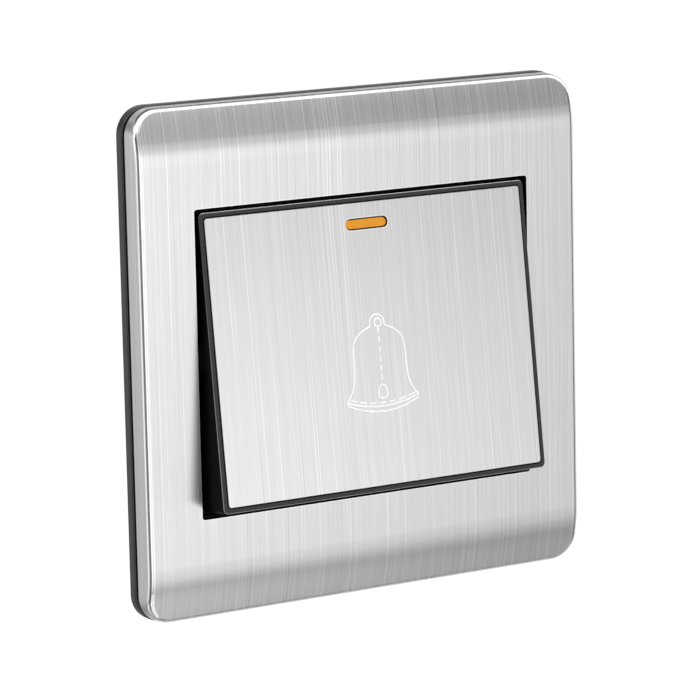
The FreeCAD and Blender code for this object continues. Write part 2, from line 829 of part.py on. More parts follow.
def make_base_housing():
    """Box behind the wall plane that holds the contacts, terminals and board."""
    outer = slab(housing_width, housing_height, housing_corner, frame_rear_y, housing_depth)
    outer = outer.makeFillet(housing_edge_round, edges_at(outer, housing_depth))
    inner = slab(
        housing_width - 2 * housing_wall,
        housing_height - 2 * housing_wall,
        housing_corner - housing_wall,
        frame_rear_y - past,
        housing_rear_inner,
    )
    within = slab(
        housing_width - housing_wall,
        housing_height - housing_wall,
        housing_corner - housing_wall / 2,
        frame_rear_y,
        housing_depth,
    )
    rib_root = housing_rear_inner + bury
    boss_radius = tail_radius + stem_play + boss_wall
    additions = [rod(boss_radius, 0, spring_seat_y, rib_root, plunger_z)]
    for side in (-1, 1):
        additions += [screw_post(side * screw_x, z, within) for z in (-screw_z, screw_z)]
        middle, half = side * terminal_x, terminal_width / 2
        for z in (terminal_bottom_z + terminal_rib, terminal_top_z - 2 * terminal_rib):
            front = terminal_rear_y + seat
            additions.append(box(middle - half, middle + half, front, rib_root, z, z + terminal_rib))
    body = outer.cut(inner).fuse(additions).removeSplitter()
    tail_end = housing_rear_inner + tail_hole_depth
    cuts = [rod(tail_radius + stem_play, 0, spring_seat_y - past, tail_end, plunger_z)]
    reach = board_width / 2 + board_gap
    rear, top = board_rear_y + lead_proud + board_gap, board_top + board_gap
    cuts.append(box(-reach, reach, frame_rear_y - past, rear, board_bottom, top))
    for side in (-1, 1):
        x = side * terminal_x
        half = wire_window / 2
        cuts.append(box(x - half, x + half, wire_y - half, wire_y + half, -housing_height, housing_floor_z))
        cuts.append(rod(driver_hole_radius, x, terminal_rear_y, housing_depth + past, clamp_screw_z))
        x = side * screw_x
        for z in (-screw_z, screw_z):
            cuts.append(rod(screw_radius + screw_play, x, frame_rear_y - past, post_hole_depth, z))
    return single(body.cut(cuts))


def make_housing_screws():
    """Four screws that clamp the cover, the frame and the housing together."""
    screws = []
    head_rear = mech_front_y + screw_head_height - seat
    head_front = mech_front_y + screw_head_sunk
    tip = head_rear + screw_length
    half, span = recess_width / 2, recess_span / 2
    floor = head_front + recess_depth
    profile = [
        (0, head_front),
        (screw_crown_radius, head_front),
        (screw_head_radius, head_front + screw_head_round),
        (screw_head_radius, head_rear),
        (screw_radius, head_rear),
        (screw_radius, tip - screw_radius),
        (screw_point_radius, tip),
        (0, tip),
    ]
    for x in (-screw_x, screw_x):
        for z in (-screw_z, screw_z):
            cross = box(x - half, x + half, head_front - past, floor, z - span, z + span)
            cross = cross.fuse(box(x - span, x + span, head_front - past, floor, z - half, z + half))
            screws.append(single(turned(profile, x, z).cut(cross)))
    return Part.makeCompound(screws)


def make_contact_plunger():
    """Sliding carrier: stem, cage for the bridge, and tail in the return spring."""
    stem = rod(stem_radius, 0, stem_front_y, cage_front_y + bury, plunger_z)
    stem = stem.makeFillet(stem_nose_round, edges_at(stem, stem_front_y))
    half_w, half_h = cage_width / 2, cage_height / 2
    cage = box(-half_w, half_w, cage_front_y, cage_rear_y, plunger_z - half_h, plunger_z + half_h)
    clear, reach = half_h - cage_side_wall, half_w + past
    window = box(-reach, reach, window_front_y, window_rear_y, plunger_z - clear, plunger_z + clear)
    spigot = rod(spigot_radius, 0, window_front_y - bury, window_front_y + spigot_length, plunger_z)
    tail_end = cage_rear_y + tail_length
    tail = rod(tail_radius, 0, cage_rear_y - bury, tail_end, plunger_z)
    tail = tail.makeChamfer(tail_chamfer, edges_at(tail, tail_end))
    return single(fused(cage.cut(window), stem, spigot, tail))


def make_contact_bridge():
    """Copper bar that joins the two fixed contacts."""
    rear = window_rear_y - seat
    front = rear - bridge_thickness
    bar = slab(bridge_length, bridge_width, bridge_corner, front, rear, 0, plunger_z)
    pip = rod(spigot_radius, 0, front - spigot_length / 2, front + bury, plunger_z)
    holes = [rod(rivet_radius, side * contact_x, front - past, rear + past, plunger_z) for side in (-1, 1)]
    return single(fused(bar, pip).cut(holes))


def contact_button(x, seat_y, tip_y, shank_y):
    """Silver contact: a low dome on a shank that is riveted into its carrier."""
    way = 1 if tip_y > seat_y else -1
    points = [
        (0, shank_y),
        (rivet_radius - rivet_play, shank_y),
        (rivet_radius - rivet_play, seat_y),
        (contact_radius, seat_y),
        (contact_radius, tip_y - way * contact_dome),
        (contact_face_radius, tip_y),
        (0, tip_y),
    ]
    return turned(points, x, plunger_z)


def make_bridge_contacts():
    """The two moving contacts, riveted through the bridge."""
    seat_y = window_rear_y - seat
    shank = seat_y - bridge_thickness - rivet_proud
    tip = window_rear_y + contact_height
    return Part.makeCompound([contact_button(side * contact_x, seat_y, tip, shank) for side in (-1, 1)])


def make_fixed_contacts():
    """The two fixed contacts, riveted through the arms."""
    shank = arm_front_y + arm_thickness + rivet_proud
    return Part.makeCompound(
        [contact_button(side * contact_x, arm_front_y, fixed_contact_y, shank) for side in (-1, 1)]
    )


def make_contact_arm(side):
    """Brass arm from a terminal to its fixed contact."""
    outer_x = terminal_x - terminal_width / 2 + arm_in_block
    length = outer_x - arm_inner_x
    middle = (outer_x + arm_inner_x) / 2
    rear = arm_front_y + arm_thickness
    arm = slab(length, arm_width, arm_corner, arm_front_y, rear, middle, plunger_z)
    arm = single(arm.cut(rod(rivet_radius, contact_x, arm_front_y - past, rear + past, plunger_z)))
    return arm if side > 0 else mirrored(arm)


def make_terminal(side):
    """Brass pillar with a wire hole from below and a clamp screw from behind."""
    inner_x, outer_x = terminal_x - terminal_width / 2, terminal_x + terminal_width / 2
    block = box(inner_x, outer_x, terminal_front_y, terminal_rear_y, terminal_bottom_z, terminal_top_z)
    uprights = [edge for edge in block.Edges if edge.BoundBox.ZLength > terminal_height / 2]
    block = block.makeChamfer(terminal_chamfer, uprights)
    foot = Vector(terminal_x, wire_y, terminal_bottom_z)
    wire = Part.makeCylinder(wire_radius, wire_hole_length, foot, Vector(0, 0, 1))
    thread_radius = clamp_screw_radius + clamp_screw_play
    thread = rod(thread_radius, terminal_x, wire_y, terminal_rear_y + past, clamp_screw_z)
    play = arm_slot_play
    arm_slot = box(
        inner_x - past,
        inner_x + arm_in_block + play,
        arm_front_y - play,
        arm_front_y + arm_thickness + play,
        plunger_z - arm_width / 2 - play,
        plunger_z + arm_width / 2 + play,
    )
    block = single(block.cut([wire, thread, arm_slot]))
    return block if side > 0 else mirrored(block)


def make_terminal_screws():
    """Slotted clamp screws, turned back so that the wire holes are open."""
    tip = wire_y + wire_radius + clamp_tip_gap
    head_front = terminal_rear_y + clamp_head_lift
    head_rear = head_front + clamp_head_height
    profile = [
        (0, tip),
        (clamp_screw_radius - clamp_tip_chamfer, tip),
        (clamp_screw_radius, tip + clamp_tip_chamfer),
        (clamp_screw_radius, head_front),
        (clamp_head_radius, head_front),
        (clamp_head_radius, head_rear - clamp_head_chamfer),
        (clamp_head_radius - clamp_head_chamfer, head_rear),
        (0, head_rear),
    ]
    half, reach = clamp_head_slot / 2, clamp_head_radius + past
    z = clamp_screw_z
    screws = []
    for x in (-terminal_x, terminal_x):
        slot = box(x - reach, x + reach, head_rear - clamp_slot_depth, head_rear + past, z - half, z + half)
        screws.append(single(turned(profile, x, z).cut(slot)))
    return Part.makeCompound(screws)


def make_spring(radius, wire, half_turns, y0, y1):
    """Round-wire spring about the plunger's axis: half turns that lean in turn, flat at both ends."""
    level, last = y0 + spring_play + wire, y1 - spring_play - wire
    climb = (last - level) / (half_turns - 2)
    arcs = []
    for n in range(half_turns):
        rise = 0 if n in (0, half_turns - 1) else climb
        side = 1 if n % 2 == 0 else -1
        start = Vector(side * radius, level, plunger_z)
        section = Part.Face(Part.Wire(Part.makeCircle(wire, start, Vector(0, 0, 1))))
        centre = Vector(0, level + rise / 2, plunger_z)
        arcs.append(section.revolve(centre, Vector(side * rise / 2, radius, 0), 180))
        level += rise
    return single(fused(*arcs))


def make_contact_spring():
    """Presses the bridge against the rear of the cage."""
    return make_spring(
        contact_spring_radius, contact_spring_wire, contact_spring_half_turns, window_front_y, bridge_front_y
    )


def make_return_spring():
    """Pushes the plunger and the rocker back to rest."""
    return make_spring(
        return_spring_radius, return_spring_wire, return_spring_half_turns, cage_rear_y, spring_seat_y
    )


def make_indicator_board():
    """Circuit board of the indicator, on the posts of the mechanism cover."""
    middle = (board_top + board_bottom) / 2
    board = slab(board_width, board_height, board_corner, board_from_wall, board_rear_y, 0, middle)
    front, rear = board_from_wall - past, board_rear_y + past
    cuts = []
    for side in (-1, 1):
        cuts.append(rod(board_pin_radius + board_pin_play, side * board_post_x, front, rear, board_post_z))
        cuts.append(rod(lamp_lead + board_pin_play, side * lamp_lead_pitch / 2, front, rear, lamp_z))
        cuts.append(rod(resistor_lead + board_pin_play, side * resistor_pitch / 2, front, rear, resistor_z))
    return single(board.cut(cuts))


def make_indicator_lamp():
    """Small domed lamp behind the rocker's window, soldered to the board."""
    tip = mech_front_y - lamp_proud
    shoulder = tip + lamp_radius
    base = tip + lamp_length
    barrel = rod(lamp_radius, 0, shoulder, base, lamp_z)
    dome = Part.makeSphere(lamp_radius, Vector(0, shoulder, lamp_z))
    flange = rod(lamp_flange_radius, 0, base - lamp_flange, base, lamp_z)
    pieces = [dome, flange]
    lead_end = board_rear_y + lead_proud
    for x in (-lamp_lead_pitch / 2, lamp_lead_pitch / 2):
        pieces.append(rod(lamp_lead, x, base - bury, lead_end, lamp_z))
    return single(fused(barrel, *pieces))


def make_indicator_resistor():
    """Axial resistor on the rear of the board."""
    axis_y = board_rear_y + resistor_lift + resistor_cap_radius
    half = resistor_length / 2
    inner = half - resistor_cap_length
    body = rod_across(resistor_radius, -inner - bury, inner + bury, axis_y, resistor_z)
    pieces = []
    for side in (-1, 1):
        lo, hi = sorted((side * inner, side * half))
        end = rod_across(resistor_cap_radius, lo, hi, axis_y, resistor_z)
        pieces.append(end.makeFillet(resistor_cap_round, [e for e in end.Edges if e.Closed]))
        pieces.append(resistor_lead_wire(side, half - resistor_cap_round, axis_y))
    return single(fused(body, *pieces))


def resistor_lead_wire(side, x_start, axis_y):
    """One lead: out along X, round a bend and through the board."""
    x_end = side * resistor_pitch / 2
    start = Vector(side * x_start, axis_y, resistor_z)
    corner = Vector(x_end, axis_y, resistor_z)
    end = Vector(x_end, board_from_wall - lead_proud, resistor_z)
    path = rounded_path([start, corner, end], resistor_bend)
    section = Part.Wire(Part.makeCircle(resistor_lead, start, Vector(1, 0, 0)))
    return path.makePipeShell([section], True, False)


def make_lamp_contact(side):
    """Spring strip from the board to the top of a terminal."""
    half = strip_thickness / 2
    start_y = board_rear_y + half + seat
    foot_z = terminal_top_z + half + seat
    route = [
        (start_y, strip_start_z - strip_tab),
        (start_y, strip_start_z),
        (strip_run_y, strip_start_z),
        (strip_run_y, foot_z),
        (strip_run_y + strip_foot, foot_z),
    ]
    path = rounded_path([Vector(0, y, z) for y, z in route], strip_bend)
    x0, x1 = side * strip_x - strip_width / 2, side * strip_x + strip_width / 2
    z = strip_start_z - strip_tab
    corners = [(x0, start_y - half), (x1, start_y - half), (x1, start_y + half), (x0, start_y + half)]
    section = Part.makePolygon([Vector(x, y, z) for x, y in corners + corners[:1]])
    return single(path.makePipeShell([section], True, False))


def make_all():
    """Every sub-part by its name."""
    parts = {
        "steel_plate": make_steel_plate(),
        "cover_frame": make_cover_frame(),
        "mounting_frame": make_mounting_frame(),
        "mechanism_cover": make_mechanism_cover(),
        "base_housing": make_base_housing(),
        "housing_screws": make_housing_screws(),
        "rocker_carrier": make_rocker_carrier(),
        "rocker_skin": make_rocker_skin(),
        "indicator_lens": make_indicator_lens(),
        "contact_plunger": make_contact_plunger(),
        "contact_bridge": make_contact_bridge(),
        "bridge_contacts": make_bridge_contacts(),
        "contact_spring": make_contact_spring(),
        "return_spring": make_return_spring(),
        "fixed_contacts": make_fixed_contacts(),
        "terminal_screws": make_terminal_screws(),
        "indicator_board": make_indicator_board(),
        "indicator_lamp": make_indicator_lamp(),
        "indicator_resistor": make_indicator_resistor(),
    }
    for name, side in (("left", -1), ("right", 1)):
        parts["terminal_" + name] = make_terminal(side)
        parts["contact_arm_" + name] = make_contact_arm(side)
        parts["lamp_contact_" + name] = make_lamp_contact(side)
    return parts


def main():
    os.makedirs("parts", exist_ok=True)
    for name, shape in make_all().items():
        shape.exportStep("parts/" + name + ".step")
        print(f"{name:20s} solids {len(shape.Solids)} valid {shape.isValid()} volume {shape.Volume:10.2f}")


main()
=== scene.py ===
import json
import math

import bpy
from mathutils import Matrix, Vector


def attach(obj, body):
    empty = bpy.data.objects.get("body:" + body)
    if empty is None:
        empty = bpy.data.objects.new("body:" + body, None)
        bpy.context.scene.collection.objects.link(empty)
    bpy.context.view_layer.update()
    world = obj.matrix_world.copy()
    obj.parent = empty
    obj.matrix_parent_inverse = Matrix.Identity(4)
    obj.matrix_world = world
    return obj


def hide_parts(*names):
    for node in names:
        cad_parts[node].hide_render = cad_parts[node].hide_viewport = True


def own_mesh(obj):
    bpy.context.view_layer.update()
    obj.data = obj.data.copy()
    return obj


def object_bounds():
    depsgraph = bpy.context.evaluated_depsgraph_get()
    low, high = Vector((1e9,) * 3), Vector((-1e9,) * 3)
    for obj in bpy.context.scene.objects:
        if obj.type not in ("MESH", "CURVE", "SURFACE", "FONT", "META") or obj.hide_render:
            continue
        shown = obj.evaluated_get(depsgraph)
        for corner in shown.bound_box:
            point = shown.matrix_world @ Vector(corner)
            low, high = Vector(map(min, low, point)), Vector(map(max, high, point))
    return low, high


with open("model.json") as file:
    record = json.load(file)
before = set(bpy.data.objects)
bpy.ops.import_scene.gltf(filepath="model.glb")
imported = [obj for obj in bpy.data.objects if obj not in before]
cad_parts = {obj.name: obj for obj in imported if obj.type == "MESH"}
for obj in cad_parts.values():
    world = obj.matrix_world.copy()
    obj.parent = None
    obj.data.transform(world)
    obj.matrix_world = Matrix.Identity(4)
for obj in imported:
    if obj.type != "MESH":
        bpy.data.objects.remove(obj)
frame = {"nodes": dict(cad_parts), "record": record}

cad_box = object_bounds()
nodes = frame["nodes"]

# A wall doorbell push: brushed steel plate, black frame, tilting rocker with an amber window.
# Metres, X to the right seen from the front, Y into the wall, Z up.

MM = 0.001

# Camera, fitted to the photograph's edge lines; angles in degrees
CAMERA_AZIMUTH = -31.29
CAMERA_ELEVATION = 10.12
CAMERA_ROLL = -1.234
CAMERA_DISTANCE = 667.4 * MM
CAMERA_TARGET = Vector((0.651, 0.0, -1.938)) * MM
FOCAL_PIXELS = 3915.0
PHOTO_PIXELS = 700.0
SENSOR = 36.0                   # Blender's own unit, millimetres

# The studio around the object: soft light all round, and what the metal reflects, by direction.
# Stops are (degrees, level). AROUND goes by azimuth, with 0 in front and the right above zero, and
# is multiplied by UPWARDS, which goes by elevation. OVERHEAD is added: it goes over the top, with
# 0 in front and 180 behind.
SOFT_LEVEL = 0.18
AROUND = (
    (-180, 0.6), (-120, 0.62), (-112, 1.1), (-84, 1.4), (-78, 0.2), (-38, 0.2), (-31, 1.7), (-17, 1.7),
    (-10, 1.05), (6, 1.0), (14, 1.62), (20, 1.98), (25.5, 1.78), (29.2, 1.15), (33, 0.72), (37, 0.40),
    (43, 0.10), (56, 0.06), (66, 0.5), (76, 0.9), (100, 0.8), (125, 1.2), (160, 1.1), (180, 0.6),
)
UPWARDS = (
    (-90, 0.55), (-50, 0.79), (-45, 0.84), (-41, 0.85), (-37, 0.85), (-33, 0.73), (-31.5, 0.36), (-29, 0.36),
    (-27, 0.73), (-23, 0.80), (-18, 0.87), (-14, 0.92), (-10, 0.98), (-6, 1.0), (-2, 1.06), (2, 1.08),
    (5, 0.82), (8, 0.55), (12, 0.48), (16, 0.44), (19, 0.44), (21, 0.52), (24, 0.68), (28, 0.9), (46, 0.0),
)
OVERHEAD = ((-180, 0.0), (30, 0.0), (38, 0.6), (46, 1.7), (80, 1.6), (98, 0.3), (130, 0.05), (150, 0.0))
SUN_LEVEL = 0.82                # on a surface that faces the front
SUN_FROM = Vector((0.35, -0.80, 0.50))
SUN_SOFTNESS = math.radians(25.0)
FLOOR_DROP = 0.26
FLOOR_SIZE = 12.0
FLOOR_GREY = 0.8
FLOOR_GLOW = 0.5                # for the camera only

# Brushing of the steel: cells to a metre across and along it, place in the noise, and detail
FINE_STREAKS = (4200.0, 14.0, 0.0, 3.0)
BROAD_STREAKS = (700.0, 5.0, 3.0, 1.0)
STRONG_STREAKS = (3400.0, 9.0, 7.0, 0.0)
SHORT_STREAKS = (5200.0, 60.0, 11.0, 0.0)
STEEL_COLOUR = (0.78, 0.78, 0.78)
FADE_HEIGHTS = (-38 * MM, -20 * MM)     # the streaks grow fainter down to the plate's foot
FADE_LEAST = 0.5
ROLL_SHARE = 0.6                # the rolled edges' roughness, as a share of the flat's
GRAIN_CELLS = (6000.0, 6000.0, 6000.0)  # grain of the plastics, in cells to a metre

# Painted light along cut edges: a painted highlight round the plate's opening and the slot, painted shade in
# the seam round the rocker's skin; from and to, counted outwards from the edge, and how bright
EDGE_SOFTNESS = 0.02 * MM
# painted highlight round the plate's opening
OPENING_HIGHLIGHT = (-0.1 * MM, 0.13 * MM, 1.27)
# painted shade in the seam round the rocker's skin
SKIN_SEAM_SHADE = (-0.11 * MM, 0.3 * MM, 0.10)
# painted highlight round the window's slot
SLOT_HIGHLIGHT = (-0.1 * MM, 0.11 * MM, 1.15)

# Black of the rocker, painted by which way a face looks: painted shade on its sides and seams, a painted
# highlight on its edges, and its front
ROCKER_SIDE_SHADE = 0.003
ROCKER_EDGE_HIGHLIGHT = 0.50
ROCKER_FRONT = 0.042
EDGE_HIGHLIGHT_FADE_HEIGHTS = (-15 * MM, 20 * MM)      # up the rocker, where the painted highlight on its side edges grows fainter
SEAM_SHADE_DEPTHS = (-0.42 * MM, -0.35 * MM)  # from the skin's front, where faces sunk behind it get painted shade: the seam round it, and the open rim

# Painted shade in the recess round the amber window: a dark rim counted outwards from the slot's edge, and
# moved to the right
RECESS_SHADE_SHIFT = 0.07 * MM
RECESS_SHADE_DEPTHS = (-0.36 * MM, -0.28 * MM)

# Rocker, opening, window and travel, repeated from the solids
ROCKER_TILT = math.radians(7.0)
ROCKER_AXIS_Y = -4.84 * MM
ROCKER_FACE = 5.0 * MM          # the skin's front, before the rocker's axis
SKIN_HALF = (31.05 * MM, 24.0 * MM)
SKIN_CORNER = 0.6 * MM
OPENING_HALF = (32.75 * MM, 26.0 * MM)
OPENING_CORNER = 0.6 * MM
SLOT_HALF = (4.23 * MM, 1.055 * MM)
SLOT_HEIGHT = 20.35 * MM        # up the rocker's face
PLUNGER_TRAVEL = 1.686 * MM
BRIDGE_LAG = 0.545 * MM         # a touch more than its travel, so its coil stays clear of it

# Bell printed on the rocker: half widths and heights, from a middle a little off the skin's
BELL_X = 0.3 * MM
BELL_LIFT = 0.2 * MM
BELL_LINE = 0.36 * MM
BELL_PROUD = 0.02 * MM
RING_HEIGHT = 3.35 * MM
RING_RADIUS = 1.4 * MM
RING_FOOT = 0.5 * MM            # how far its sides reach below its middle
EYE_RADIUS = 0.68 * MM
MIDDLE_SHIFT = 0.15 * MM        # the middle line stands a little right of the outline's middle
BELL_SIDE = (
    (1.40, 2.87), (3.75, 1.66), (4.88, 0.06), (5.12, -1.80), (5.14, -4.20), (5.35, -6.20), (5.85, -7.80),
    (7.05, -9.55),
)

# Its lip's upper and lower line and the dashed arc just above, each with the height of its ends and
# how far its middle hangs below them; then the dashed middle line and the clapper
LIP_HALF = 7.05 * MM
LIP_HEIGHT = -9.57 * MM
LIP_SAG = 1.2 * MM
LIP_LOW_HEIGHT = -10.04 * MM
LIP_LOW_SAG = 1.62 * MM
DASH_ARC_HALF = 6.75 * MM
DASH_ARC_HEIGHT = -9.08 * MM
DASH_ARC_SAG = 1.15 * MM
DASH_ARC_PART = 0.68            # length of a dash on the arc, as a share of its step
DASH_LINE_TOP = 2.6 * MM
CLAPPER = ((0.0, -7.05), (0.60, -7.55), (0.84, -8.5), (0.80, -9.2), (0.3, -9.4))
CLAPPER_TOP = CLAPPER[0][1] * MM
ARC_DASHES = 7
LINE_DASHES = 6
DASH_SHARES = (0.0, 0.31, 0.62) # start, middle and end of a dash on the line, in its step


def put(name, data):
    """A new object with some data, in the scene."""
    thing = bpy.data.objects.new(name, data)
    bpy.context.collection.objects.link(thing)
    return thing


def make_camera():
    """Camera at the photograph's place, with a small roll about its view line."""
    az, el, roll = (math.radians(a) for a in (CAMERA_AZIMUTH, CAMERA_ELEVATION, CAMERA_ROLL))
    back = Vector((math.sin(az) * math.cos(el), -math.cos(az) * math.cos(el), math.sin(el)))
    right = (-back).cross(Vector((0, 0, 1))).normalized()
    up = right.cross(-back)
    rolled_right = right * math.cos(roll) + up * math.sin(roll)
    rolled_up = up * math.cos(roll) - right * math.sin(roll)
    data = bpy.data.cameras.new("photo_camera")
    data.sensor_width = SENSOR
    data.lens = FOCAL_PIXELS / PHOTO_PIXELS * SENSOR
    data.clip_start = 0.01
    data.clip_end = 20.0
    camera = put("photo_camera", data)
    place = Matrix((rolled_right, rolled_up, back)).transposed().to_4x4()
    place.translation = CAMERA_TARGET + back * CAMERA_DISTANCE
    camera.matrix_world = place
    bpy.context.scene.camera = camera


class Tree:
    """Short ways to add and join the nodes of a tree."""

    def __init__(self, tree):
        self.nodes = tree.nodes
        self.links = tree.links

    def add(self, kind, **settings):
        """A new node with some of its settings."""
        node = self.nodes.new(kind)
        for key, value in settings.items():
            setattr(node, key, value)
        return node

    def link(self, start, end):
        """Join an output to an input."""
        self.links.new(start, end)

    def feed(self, socket, value):
        """Give an input a number, or join it to an output."""
        if isinstance(value, float):
            socket.default_value = value
        else:
            self.link(value, socket)

    def calc(self, operation, a, b=0.0):
        """One sum of numbers or outputs."""
        node = self.add("ShaderNodeMath", operation=operation)
        for socket, value in zip(node.inputs, (a, b)):
            self.feed(socket, value)
        return node.outputs[0]

    def product(self, first, *others):
        """Numbers or outputs multiplied together, the first of them an output."""
        for other in others:
            first = self.calc("MULTIPLY", first, other)
        return first

    def place(self, kind="Object"):
        """X, Y and Z of the object's own coordinates, or of another kind."""
        source = self.add("ShaderNodeTexCoord")
        parts = self.add("ShaderNodeSeparateXYZ")
        self.link(source.outputs[kind], parts.inputs[0])
        return parts.outputs

    def ramp(self, source, stops):
        """Grey between stops of (position from 0 to 1, level)."""
        node = self.add("ShaderNodeValToRGB")
        elements = node.color_ramp.elements
        while len(elements) < len(stops):
            elements.new(0.5)
        for element, (position, level) in zip(elements, stops):
            element.position = position
            element.color = (level, level, level, 1.0)
        self.link(source, node.inputs["Fac"])
        return node.outputs["Color"]

    def span(self, source, low, high, to_low, to_high):
        """Number mapped from one span to another."""
        node = self.add("ShaderNodeMapRange")
        for key, value in zip(("From Min", "From Max", "To Min", "To Max"), (low, high, to_low, to_high)):
            node.inputs[key].default_value = value
        self.link(source, node.inputs["Value"])
        return node.outputs["Result"]


class Surface(Tree):
    """A new material, with short ways to vary it over the object."""

    def __init__(self, name):
        self.material = bpy.data.materials.new(name)
        self.material.use_nodes = True
        super().__init__(self.material.node_tree)
        self.shader = self.nodes["Principled BSDF"]

    def set(self, **values):
        """Constants on the shader's inputs, with _ for a space in their names."""
        for key, value in values.items():
            self.shader.inputs[key.replace("_", " ")].default_value = value

    def drive(self, **outputs):
        """Outputs joined to the shader's inputs, named the same way."""
        for key, output in outputs.items():
            self.link(output, self.shader.inputs[key.replace("_", " ")])

    def facing(self, axis):
        """How far a face looks along an axis, 0 to 1, either way."""
        return self.calc("ABSOLUTE", self.place("Normal")[axis])

    def across_brush(self):
        """Place across the brushing: X on the front, Y on the upright sides; and Z as it is."""
        place = self.place()
        is_side = self.span(self.facing("X"), 0.6, 0.8, 0.0, 1.0)
        mix = self.add("ShaderNodeMix", data_type="FLOAT")
        for socket, value in ((0, is_side), (2, place["X"]), (3, place["Y"])):
            self.link(value, mix.inputs[socket])
        return mix.outputs[0], place["Z"]

    def along(self, direction, offset):
        """Place along a direction, less an offset."""
        source = self.add("ShaderNodeTexCoord")
        rise = self.add("ShaderNodeVectorMath", operation="DOT_PRODUCT")
        self.link(source.outputs["Object"], rise.inputs[0])
        rise.inputs[1].default_value = direction
        return self.calc("SUBTRACT", rise.outputs["Value"], offset)

    def past_outline(self, across, up, half, corner):
        """Distance outside a rectangle with round corners, below zero inside it."""
        wide = self.calc("SUBTRACT", self.calc("ABSOLUTE", across), half[0] - corner)
        high = self.calc("SUBTRACT", self.calc("ABSOLUTE", up), half[1] - corner)
        squares = []
        for side in (wide, high):
            beyond = self.calc("MAXIMUM", side, 0.0)
            squares.append(self.product(beyond, beyond))
        outside = self.calc("SQRT", self.calc("ADD", *squares))
        inside = self.calc("MINIMUM", self.calc("MAXIMUM", wide, high), 0.0)
        return self.calc("SUBTRACT", self.calc("ADD", outside, inside), corner)

    def up_rocker(self):
        """Place up the rocker's tilted face from its middle."""
        lean = (0.0, math.sin(ROCKER_TILT), math.cos(ROCKER_TILT))
        return self.along(lean, ROCKER_AXIS_Y * math.sin(ROCKER_TILT))

    def past_slot(self, shift=0.0):
        """Distance outside the window's slot, below zero inside it; shift moves the slot to the right."""
        across = self.along((1.0, 0.0, 0.0), shift)
        up = self.calc("SUBTRACT", self.up_rocker(), SLOT_HEIGHT)
        return self.past_outline(across, up, SLOT_HALF, SLOT_HALF[1])

    def line(self, distance, low, high, level):
        """A factor that is level between two distances and 1 elsewhere."""
        above = self.span(distance, low - EDGE_SOFTNESS, low, 0.0, 1.0)
        below = self.span(distance, high, high + EDGE_SOFTNESS, 1.0, 0.0)
        return self.span(self.product(above, below), 0.0, 1.0, 1.0, level)

    def painted_edge_light(self):
        """Painted highlights round the plate's opening and the slot, painted shade in the seam round the
        rocker's skin.
        """
        place = self.place()
        past_opening = self.past_outline(place["X"], place["Z"], OPENING_HALF, OPENING_CORNER)
        past_skin = self.past_outline(place["X"], self.up_rocker(), SKIN_HALF, SKIN_CORNER)
        return self.product(
            self.line(past_opening, *OPENING_HIGHLIGHT),
            self.line(past_skin, *SKIN_SEAM_SHADE),
            self.line(self.past_slot(), *SLOT_HIGHLIGHT),
        )

    def worn_rolls(self):
        """1 on flat faces, and a smaller factor on the rolled edges between them."""
        stops = ((0.0, 1.0), (0.05, 1.0), (0.15, ROLL_SHARE), (0.9, ROLL_SHARE), (0.98, 1.0))
        return self.ramp(self.facing("X"), stops)

    def streaks(self, across, kind):
        """Noise drawn out along the brushing."""
        sideways, upright = across
        fineness, length, seed, detail = kind
        vector = self.add("ShaderNodeCombineXYZ")
        for key, value in zip("XYZ", (self.product(sideways, fineness), self.product(upright, length), seed)):
            self.feed(vector.inputs[key], value)
        return self.noise_at(vector.outputs[0], detail, 0.55)

    def noise_at(self, vector, detail, roughness):
        """Noise with one cell to each unit of a vector."""
        node = self.add("ShaderNodeTexNoise")
        for key, value in (("Scale", 1.0), ("Detail", detail), ("Roughness", roughness)):
            node.inputs[key].default_value = value
        self.link(vector, node.inputs["Vector"])
        return node.outputs["Fac"]

    def noise(self, cells, detail, roughness):
        """Noise with some cells to a metre on each axis."""
        source = self.add("ShaderNodeTexCoord")
        mapping = self.add("ShaderNodeMapping")
        mapping.inputs["Scale"].default_value = cells
        self.link(source.outputs["Object"], mapping.inputs["Vector"])
        return self.noise_at(mapping.outputs["Vector"], detail, roughness)

    def mix_colour(self, factor, a, b):
        """Colour between a and b by an output."""
        node = self.add("ShaderNodeMix", data_type="RGBA")
        self.link(factor, node.inputs["Factor"])
        for value, key in ((a, "A"), (b, "B")):
            socket = [i for i in node.inputs if i.name == key and i.type == "RGBA"][0]
            if isinstance(value, tuple):
                socket.default_value = (*value, 1.0)
            else:
                self.link(value, socket)
        return [o for o in node.outputs if o.type == "RGBA"][0]

    def bump(self, height, strength, distance):
        """Small relief from a noise."""
        node = self.add("ShaderNodeBump")
        for key, value in (("Strength", strength), ("Distance", distance)):
            node.inputs[key].default_value = value
        self.link(height, node.inputs["Height"])
        self.drive(Normal=node.outputs["Normal"])


